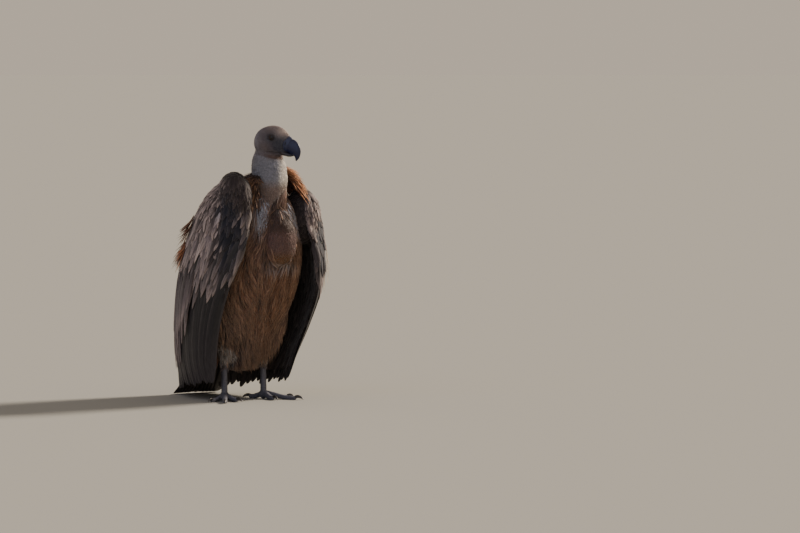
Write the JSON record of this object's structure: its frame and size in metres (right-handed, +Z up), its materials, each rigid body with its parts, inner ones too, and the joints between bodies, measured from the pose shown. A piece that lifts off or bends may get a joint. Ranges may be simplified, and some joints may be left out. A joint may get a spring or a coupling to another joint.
{
  "type": "griffon vulture",
  "caption": "Life-size still model of a young griffon vulture standing upright with closed wings hanging like a cloak, a standing ruff, a full crop and the head turned to its left.",
  "frame": {"origin": "centre of the bounding box at floor level, between and a little behind the feet", "axes": "+Z up from the floor through the body to the crown; the bird faces -Y; its left side is +X"},
  "size_m": [0.3604, 0.4754, 0.7019],
  "materials": {
    "down": "short pale down of head and neck",
    "crop": "short dark brown down of the crop",
    "breast": "loose rufous-brown feathers",
    "ruff": "narrow rufous pointed feathers",
    "coverts": "matt brown contour feathers with pale edges",
    "flight": "smooth blackish flight feathers",
    "horn": "smooth blue-black horn",
    "cere": "waxy grey-black skin",
    "skin": "grey scaly leg skin",
    "claw": "dark worn horn",
    "eye": "wet dark brown"
  },
  "bodies": {
    "root": {"bill_lower": "horn", "bill_upper": "horn", "cere": "cere", "claw_left_hind": "claw", "claw_left_inner": "claw", "claw_left_middle": "claw", "claw_left_outer": "claw", "claw_right_hind": "claw", "claw_right_inner": "claw", "claw_right_middle": "claw", "claw_right_outer": "claw", "crop": "crop", "eye_left": "eye", "eye_right": "eye", "foot_left": "skin", "foot_right": "skin", "head": "down", "mantle": "coverts", "neck": "down", "ruff": "ruff", "shank_left": "skin", "shank_right": "skin", "tail": "flight", "thigh_left": "breast", "thigh_right": "breast", "trunk": "breast", "wing_left_coverts": "coverts", "wing_left_flight": "flight", "wing_right_coverts": "coverts", "wing_right_flight": "flight"}
  },
  "joints": []
}
